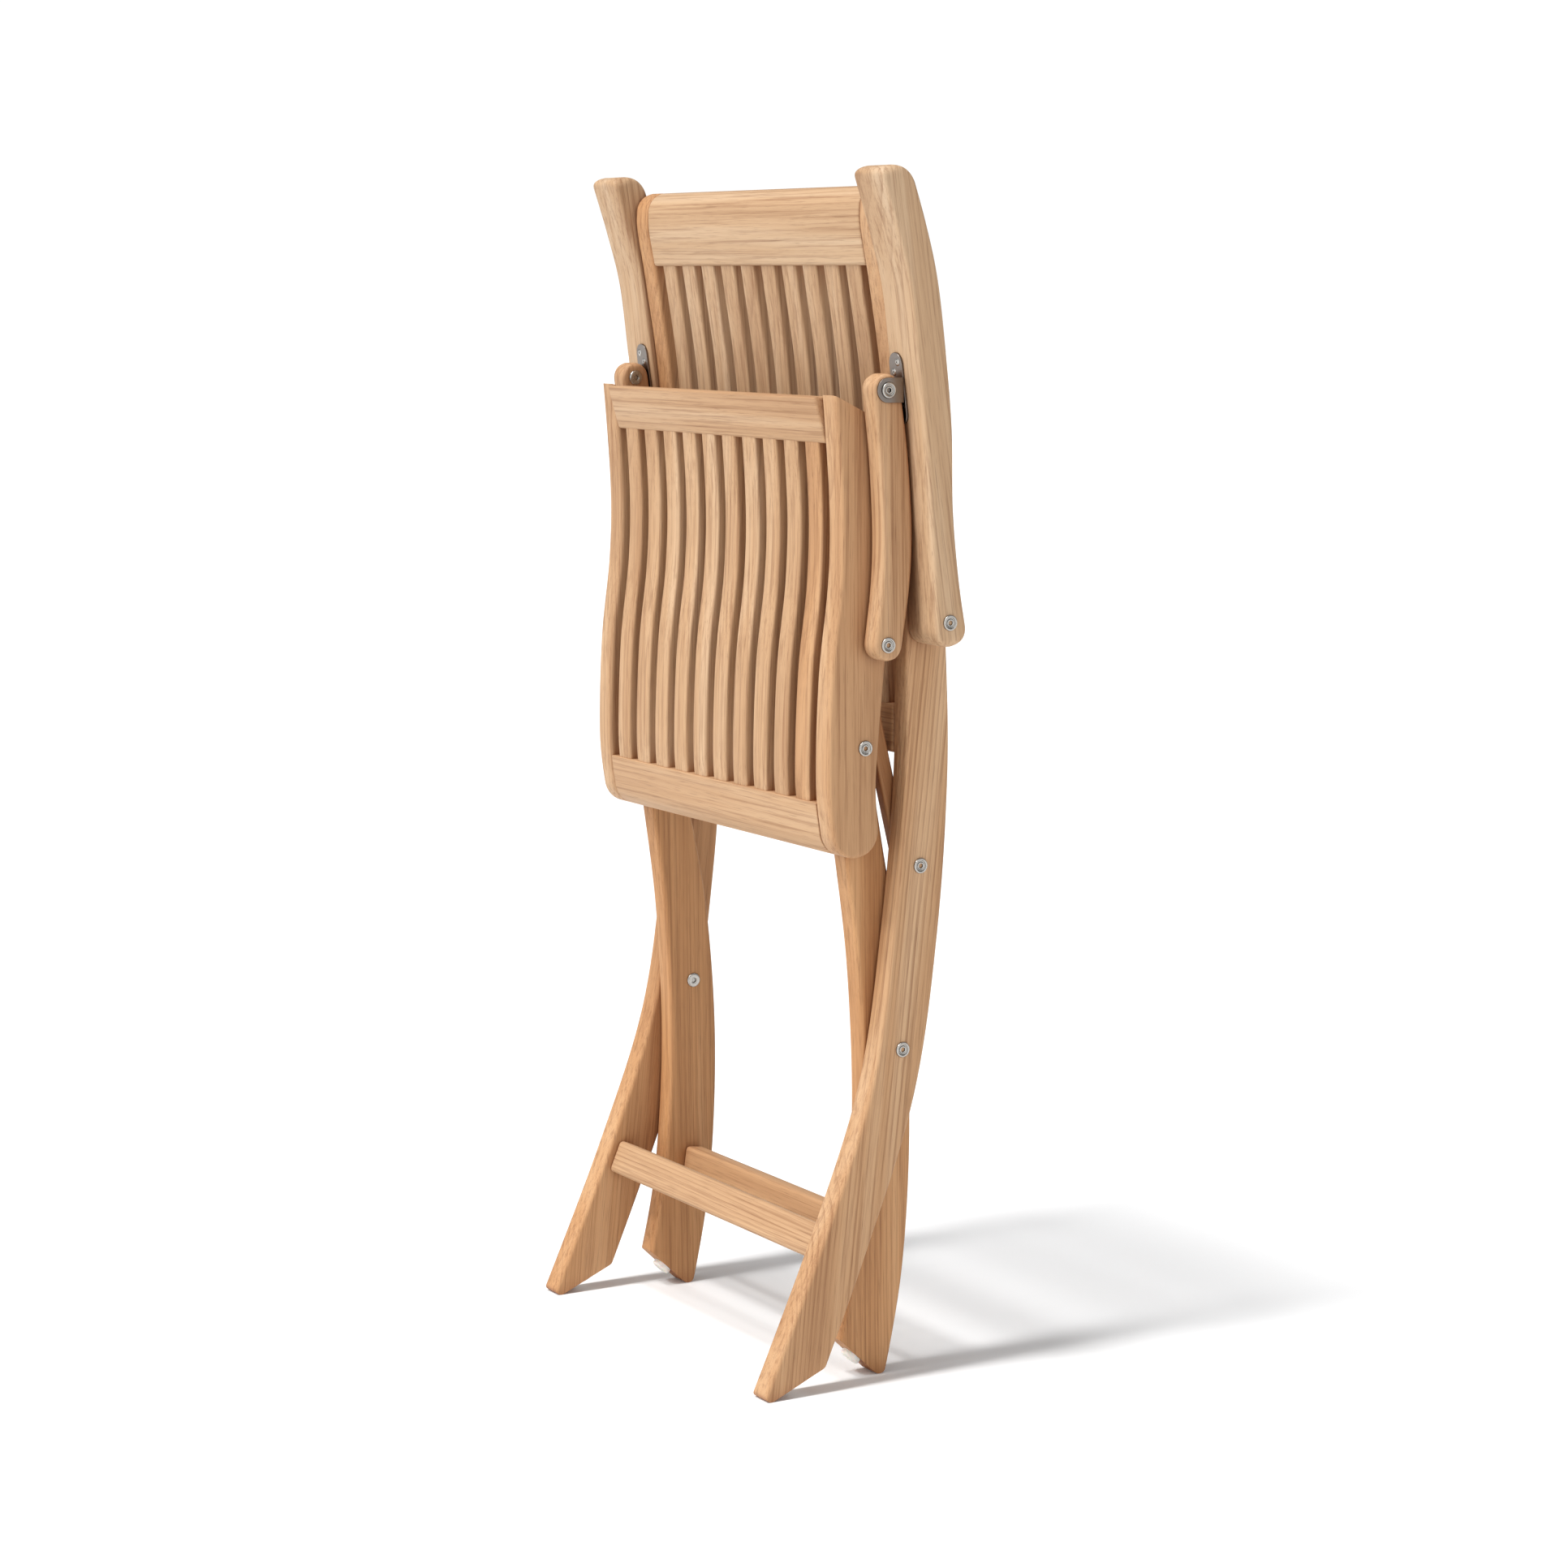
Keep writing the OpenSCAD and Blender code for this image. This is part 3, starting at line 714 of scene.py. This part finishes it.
def strap(sign):
    """The lug: a strap, round about the pivot, bent through a quarter turn onto the plate."""
    half = LUG_H / 2
    reach = BRACKET_Y - BRACKET_T / 2 - BEND_R - (SUPPORT[0] - half)
    path = []
    for k in range(1, 13):
        s = half * (1 - math.cos(math.radians(90 * k / 12)))
        path.append((s, 0.0, 0.0, math.sqrt(half ** 2 - (half - s) ** 2)))
    path.append((reach, 0.0, 0.0, half))
    for k in range(1, 7):
        a = math.radians(15 * k)
        path.append((reach + BEND_R * math.sin(a), BEND_R * (1 - math.cos(a)), a, half))
    path.append((reach + BEND_R, BEND_R + 3.0, math.pi / 2, half))
    x_mid = LUG_OUT - BRACKET_T / 2
    rings = []
    for s, inward, turn, h in path:
        ring = []
        for out, up in ((1, 1), (-1, 1), (-1, -1), (1, -1)):
            t = out * BRACKET_T / 2
            x = x_mid - inward + t * math.cos(turn)
            y = SUPPORT[0] - half + s + t * math.sin(turn)
            ring.append(at(sign * x, y, SUPPORT[1] + up * h))
        rings.append(ring)
    return skin("strap", rings)


def bracket(side, sign):
    plate = merge(f"bracket_{side}_steel",
                  [place(flat_plate(stadium(PLATE_W, PLATE_H), BRACKET_T), arm_face(sign))])
    lug = strap(sign)
    bpy.ops.object.select_all(action="DESELECT")
    lug.select_set(True)
    plate.select_set(True)
    bpy.context.view_layer.objects.active = plate
    bpy.ops.object.join()
    smooth_by_angle(plate, 35)
    bevel(plate, 0.45, 2, 40)
    return stand_in(plate, f"bracket_{side}", f"armrest_{side}")


def screw_head():
    """A low domed head with a small recess."""
    r = SCREW_HEAD_R
    return lathe([(0, 0), (r, 0), (r, 0.1), (r - 0.35, 0.32), (r - 1.1, 0.52), (1.3, 0.6),
                  (1.1, 0.55, True), (0.9, 0.1, True), (0, 0.05)])


brackets = [bracket(side, s) for side, s in SIDES]
for side, s in SIDES:
    heads = [place(screw_head(), arm_face(s) @ Matrix.Translation(
        Vector((s * k * SCREW_STEP[0], end * (PLATE_H / 2 - SCREW_FROM_END) + k * SCREW_STEP[1],
                BRACKET_T)) * MM))
        for end in (-1, 1) for k in (-1, 1)]
    steel.append(stand_in(merge(f"bracket_screws_{side}_steel", heads), f"bracket_screws_{side}",
                          f"armrest_{side}"))

# ---- Glides -------------------------------------------------------------------------------------


def glide(tip, slope, direction, d, x, h):
    """A round foot h mm high on an oblique foot cut, d mm along the cut from its tip."""
    a = math.radians(slope)
    n = Vector((0, direction * math.sin(a), -math.cos(a)))
    p = at(x, tip[0] + d * direction * math.cos(a), tip[1] + d * math.sin(a))
    bm = lathe([(0, -1), (GLIDE_R, -1), (GLIDE_R, h - 1.6), (GLIDE_R - 0.5, h - 0.6),
                (GLIDE_R - 1.6, h), (2.4, h), (2.0, h - 0.6), (0, h - 0.8)])
    return place(bm, Matrix.Translation(p) @ n.to_track_quat("Z", "Y").to_matrix().to_4x4())


front_x, rear_x = (RAIL_IN + RAIL_OUT) / 2, (LEG_IN + LEG_OUT) / 2
glides = [
    merge("front_glides_plastic",
          [glide(FRONT_TIP, FRONT_CUT, 1, FRONT_FROM_TIP, s * front_x, FRONT_GLIDE_H)
           for _, s in SIDES]),
    merge("rear_glides_plastic",
          [glide(REAR_TIP, REAR_CUT, -1, REAR_FROM_TIP, s * rear_x, REAR_GLIDE_H)
           for _, s in SIDES]),
]
stand_in(glides[0], "front_glides", "frame")
stand_in(glides[1], "rear_glides", "rear_legs")

# ---- Materials ----------------------------------------------------------------------------------


class Nodes:
    """Shorthand for building a shader's node tree."""

    def __init__(self, name):
        self.material = bpy.data.materials.new(name)
        self.material.use_nodes = True
        self.tree = self.material.node_tree
        self.tree.nodes.clear()

    def add(self, kind, inputs=None, **props):
        node = self.tree.nodes.new(kind)
        for k, v in props.items():
            setattr(node, k, v)
        for k, v in (inputs or {}).items():
            if isinstance(v, bpy.types.NodeSocket):
                self.tree.links.new(v, node.inputs[k])
            else:
                node.inputs[k].default_value = v
        return node

    def math(self, op, a, b=None):
        inputs = {0: a}
        if b is not None:
            inputs[1] = b
        return self.add("ShaderNodeMath", inputs, operation=op).outputs[0]

    def mix(self, factor, a, b, blend="MIX"):
        node = self.add("ShaderNodeMix", data_type="RGBA", blend_type=blend)
        for k, v in ((0, factor), (6, a), (7, b)):
            if isinstance(v, bpy.types.NodeSocket):
                self.tree.links.new(v, node.inputs[k])
            else:
                node.inputs[k].default_value = v
        return node.outputs[2]

    def ramp(self, factor, stops):
        node = self.add("ShaderNodeValToRGB", {0: factor})
        el = node.color_ramp.elements
        el[0].position, el[0].color = stops[0]
        el[1].position, el[1].color = stops[-1]
        for pos, col in stops[1:-1]:
            el.new(pos).color = col
        return node.outputs[0]

    def noise(self, vector, scale, detail, rough):
        return self.add("ShaderNodeTexNoise", {"Vector": vector, "Scale": scale, "Detail": detail,
                                               "Roughness": rough}).outputs["Fac"]

    def finish(self, inputs):
        """Ends the tree with a principled shader that has these inputs."""
        shader = self.add("ShaderNodeBsdfPrincipled", inputs)
        out = self.add("ShaderNodeOutputMaterial")
        self.tree.links.new(shader.outputs[0], out.inputs[0])
        return self.material


def srgb(r, g, b):
    """A linear colour from 0 to 255 sRGB values."""
    def lin(c):
        c /= 255
        return c / 12.92 if c <= 0.04045 else ((c + 0.055) / 1.055) ** 2.4

    return (lin(r), lin(g), lin(b), 1.0)


WOOD_DARK, WOOD_MID, WOOD_PALE = srgb(172, 136, 102), srgb(191, 157, 122), srgb(203, 175, 144)
WOOD_LINE, WOOD_PORE = srgb(124, 80, 50), srgb(92, 56, 34)
BLACK, WHITE = (0, 0, 0, 1), (1, 1, 1, 1)
RICH_TINT, PALE_TINT = (0.95, 0.72, 0.50, 1), (1.05, 1.07, 1.1, 1)
# Painted shade: the colours that darken the wood in its gaps and the metal in its recesses.
PAINTED_GAP_SHADE, PAINTED_RECESS_SHADE = (0.62, 0.42, 0.30, 1), (0.05, 0.045, 0.04, 1)

# Grain: noise scales across (twice) and along the plank, growth bands to a metre, and how far the
# slow warp carries them.
WARP_SCALE, PATCH_SCALE, BROAD_SCALE = (9, 9, 0.9), (26, 26, 2.5), (34, 34, 1.2)
STREAK_SCALE, PORE_SCALE = (330, 330, 5), (1500, 1500, 34)
BANDS, WARP = 190.0, 11.0
STREAK_AMOUNT, PORE_AMOUNT = 0.42, 0.34


def teak(name):
    """Oiled teak: straight fine grain along each plank, with bands, streaks and pores."""
    n = Nodes(name)
    pos = n.add("ShaderNodeAttribute", attribute_name="grain").outputs["Vector"]
    tone = n.add("ShaderNodeAttribute", attribute_name="tone").outputs["Fac"]

    def grain(scale, detail, rough):
        """Noise in the plank's own directions."""
        stretched = n.add("ShaderNodeMapping", {"Vector": pos, "Scale": scale}).outputs[0]
        return n.noise(stretched, 1.0, detail, rough)

    def spread(value, low, high, to_low=0.0, to_high=1.0):
        return n.add("ShaderNodeMapRange", {"Value": value, "From Min": low, "From Max": high,
                                            "To Min": to_low, "To Max": to_high}).outputs[0]

    # Growth bands: a slow warp of the distance across the plank, drawn out along it.
    warp = grain(WARP_SCALE, 2.0, 0.5)
    split = n.add("ShaderNodeSeparateXYZ", {0: pos})
    across = n.math("ADD", n.math("MULTIPLY", split.outputs[0], 0.55), split.outputs[1])
    bands = n.math("ADD", n.math("MULTIPLY", across, BANDS), n.math("MULTIPLY", warp, WARP))
    ring = n.math("POWER", n.math("FRACT", bands), 4.0)
    patch = grain(PATCH_SCALE, 2.0, 0.5)
    broad = grain(BROAD_SCALE, 3.0, 0.6)
    streak = grain(STREAK_SCALE, 4.0, 0.62)
    pores = grain(PORE_SCALE, 2.0, 0.5)

    base = n.ramp(broad, [(0.28, WOOD_DARK), (0.5, WOOD_MID), (0.72, WOOD_PALE)])
    tint = n.ramp(spread(tone, -1.0, 1.0), [(0.0, RICH_TINT), (0.5, WHITE), (1.0, PALE_TINT)])
    toned = n.mix(1.0, base, tint, "MULTIPLY")
    ring_amount = n.math("MULTIPLY", ring, spread(patch, 0.4, 0.65, 0.08, 0.5))
    ringed = n.mix(ring_amount, toned, WOOD_LINE)
    streak_mask = n.ramp(streak, [(0.36, WHITE), (0.50, BLACK)])
    streaked = n.mix(n.math("MULTIPLY", streak_mask, STREAK_AMOUNT), ringed, WOOD_LINE)
    pore_mask = n.ramp(pores, [(0.30, WHITE), (0.42, BLACK)])
    grained = n.mix(n.math("MULTIPLY", pore_mask, PORE_AMOUNT), streaked, WOOD_PORE)
    # Painted shade: the wood is made deeper and redder where ambient occlusion finds the gaps
    # between boards.
    open_air = n.add("ShaderNodeAmbientOcclusion", {"Distance": 0.03}).outputs["AO"]
    painted_gap_shade_ramp = n.ramp(open_air, [(0.1, PAINTED_GAP_SHADE), (0.8, WHITE)])
    colour = n.mix(1.0, grained, painted_gap_shade_ramp, "MULTIPLY")

    height = n.math("ADD", n.math("MULTIPLY", pores, 0.6), n.math("MULTIPLY", streak, 0.4))
    bump = n.add("ShaderNodeBump", {"Strength": 0.22, "Distance": 0.0006, "Height": height})
    return n.finish({"Base Color": colour, "Roughness": spread(streak, 0.3, 0.7, 0.64, 0.52),
                     "Normal": bump.outputs[0], "Specular IOR Level": 0.28})


def brushed(name, colour, rough):
    """Brushed metal with fine lines, faint smudges and painted shade that darkens its recesses."""
    n = Nodes(name)
    pos = n.add("ShaderNodeTexCoord").outputs["Object"]
    lines = n.add("ShaderNodeMapping", {"Vector": pos, "Scale": (900, 4000, 160)}).outputs[0]
    fine = n.noise(lines, 1.0, 3.0, 0.6)
    smudge = n.noise(pos, 90.0, 3.0, 0.5)
    dull = tuple(v * 0.7 for v in colour[:3]) + (1.0,)
    smudged = n.mix(n.math("MULTIPLY", smudge, 0.5), colour, dull)
    r = n.math("ADD", n.math("MULTIPLY", fine, 0.16), rough)
    # Painted shade: the metal darkens towards near black where ambient occlusion finds a recess.
    open_air = n.add("ShaderNodeAmbientOcclusion", {"Distance": 0.004}).outputs["AO"]
    painted_recess_shade_ramp = n.ramp(open_air, [(0.35, PAINTED_RECESS_SHADE), (0.85, WHITE)])
    c = n.mix(1.0, smudged, painted_recess_shade_ramp, "MULTIPLY")
    bump = n.add("ShaderNodeBump", {"Strength": 0.12, "Distance": 0.0002, "Height": fine})
    return n.finish({"Base Color": c, "Metallic": 1.0, "Roughness": r,
                     "Normal": bump.outputs[0]})


def plastic(name):
    """Milky moulded plastic, slightly clouded and scuffed."""
    n = Nodes(name)
    pos = n.add("ShaderNodeTexCoord").outputs["Object"]
    cloud = n.noise(pos, 160.0, 3.0, 0.5)
    scuff = n.noise(pos, 900.0, 4.0, 0.6)
    c = n.ramp(cloud, [(0.3, srgb(226, 222, 212)), (0.7, srgb(240, 238, 232))])
    r = n.add("ShaderNodeMapRange", {"Value": scuff, "From Min": 0.3, "From Max": 0.7,
                                     "To Min": 0.32, "To Max": 0.5}).outputs[0]
    bump = n.add("ShaderNodeBump", {"Strength": 0.08, "Distance": 0.0003, "Height": scuff})
    return n.finish({"Base Color": c, "Roughness": r, "Normal": bump.outputs[0],
                     "Subsurface Weight": 0.25, "Subsurface Scale": 0.004})


teak_material = teak("teak")
steel_material = brushed("brushed_stainless", srgb(188, 184, 178), 0.2)
bracket_material = brushed("satin_bracket", srgb(140, 132, 126), 0.24)
plastic_material = plastic("milky_plastic")


def dress(obj, material):
    obj.data.materials.clear()
    obj.data.materials.append(material)


for obj in wood_pieces:
    dress(obj, teak_material)
for obj in steel:
    dress(obj, steel_material)
for obj in brackets:
    dress(obj, bracket_material)
for obj in glides:
    dress(obj, plastic_material)
for name in ("frame_washers", "seat_washers"):
    dress(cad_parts[name], steel_material)

# ---- Floor, light and camera --------------------------------------------------------------------

FLOOR_HALF, FLOOR_WHITE = 40.0, (0.9, 0.9, 0.9, 1)
FILL, FILL_COLOUR = 0.37, (0.97, 0.985, 1.0, 1)     # the room as a light
SEEN = 1.05                                         # the room as the camera sees it
KEY_HEIGHTS, KEY_ANGLE, KEY_POWER = (52, 64, 76), 8, 1.1
LENS, SENSOR = 83.697, 36.0
CAMERA_PLACE = (2.9416, -1.7247 + Y_MID * MM, 1.0009)
AZIMUTH, PITCH, ROLL = 59.0, 7.871, 0.146

floor_bm = bmesh.new()
bmesh.ops.create_grid(floor_bm, x_segments=1, y_segments=1, size=FLOOR_HALF)
floor = new_object("floor", floor_bm)
white = bpy.data.materials.new("floor_white")
white.use_nodes = True
floor_shader = white.node_tree.nodes["Principled BSDF"]
floor_shader.inputs["Base Color"].default_value = FLOOR_WHITE
floor_shader.inputs["Roughness"].default_value = 0.95
floor_shader.inputs["Specular IOR Level"].default_value = 0.1
dress(floor, white)

# The room is white to look at and dimmer as a light, so that the key lights' shadows show.
world = bpy.data.worlds.new("studio")
world.use_nodes = True
w = world.node_tree
w.nodes.clear()
fill = w.nodes.new("ShaderNodeBackground")
fill.inputs["Color"].default_value = FILL_COLOUR
fill.inputs["Strength"].default_value = FILL
seen = w.nodes.new("ShaderNodeBackground")
seen.inputs["Color"].default_value = WHITE
seen.inputs["Strength"].default_value = SEEN
path = w.nodes.new("ShaderNodeLightPath")
either = w.nodes.new("ShaderNodeMixShader")
room = w.nodes.new("ShaderNodeOutputWorld")
w.links.new(path.outputs["Is Camera Ray"], either.inputs[0])
w.links.new(fill.outputs[0], either.inputs[1])
w.links.new(seen.outputs[0], either.inputs[2])
w.links.new(either.outputs[0], room.inputs[0])
bpy.context.scene.world = world


def sun(name, azimuth, height, angle, strength):
    """A soft sun: azimuth 0 is the chair's front, height is in degrees above the floor."""
    light = bpy.data.lights.new(name, "SUN")
    light.energy = strength
    light.angle = math.radians(angle)
    obj = bpy.data.objects.new(name, light)
    bpy.context.scene.collection.objects.link(obj)
    az, el = math.radians(azimuth), math.radians(height)
    towards = Vector((math.sin(az) * math.cos(el), -math.cos(az) * math.cos(el), math.sin(el)))
    obj.rotation_mode = "QUATERNION"
    obj.rotation_quaternion = (-towards).to_track_quat("-Z", "Y")


# A high strip light in front, as a column of small suns: the legs' shadows start dark and narrow
# at the feet and fade out behind the chair. Low soft lights fill the front and side faces.
for height in KEY_HEIGHTS:
    sun(f"key_{height}", 0, height, KEY_ANGLE, KEY_POWER)
sun("front", 0, 18, 60, 1.05)
sun("side", 90, 18, 40, 0.5)

camera_data = bpy.data.cameras.new("camera")
camera_data.sensor_width = SENSOR
camera_data.lens = LENS
camera = bpy.data.objects.new("camera", camera_data)
bpy.context.scene.collection.objects.link(camera)
a, e, r = (math.radians(v) for v in (AZIMUTH, PITCH, ROLL))
right = Vector((math.cos(a), math.sin(a), 0))
forward = Vector((-math.sin(a) * math.cos(e), math.cos(a) * math.cos(e), -math.sin(e)))
up = right.cross(forward)
x_axis = right * math.cos(r) + up * math.sin(r)
y_axis = -right * math.sin(r) + up * math.cos(r)
camera.matrix_world = Matrix.Translation(CAMERA_PLACE) @ Matrix(
    ((x_axis.x, y_axis.x, -forward.x), (x_axis.y, y_axis.y, -forward.y),
     (x_axis.z, y_axis.z, -forward.z))).to_4x4()
bpy.context.scene.camera = camera
bpy.context.scene.view_settings.view_transform = "Standard"
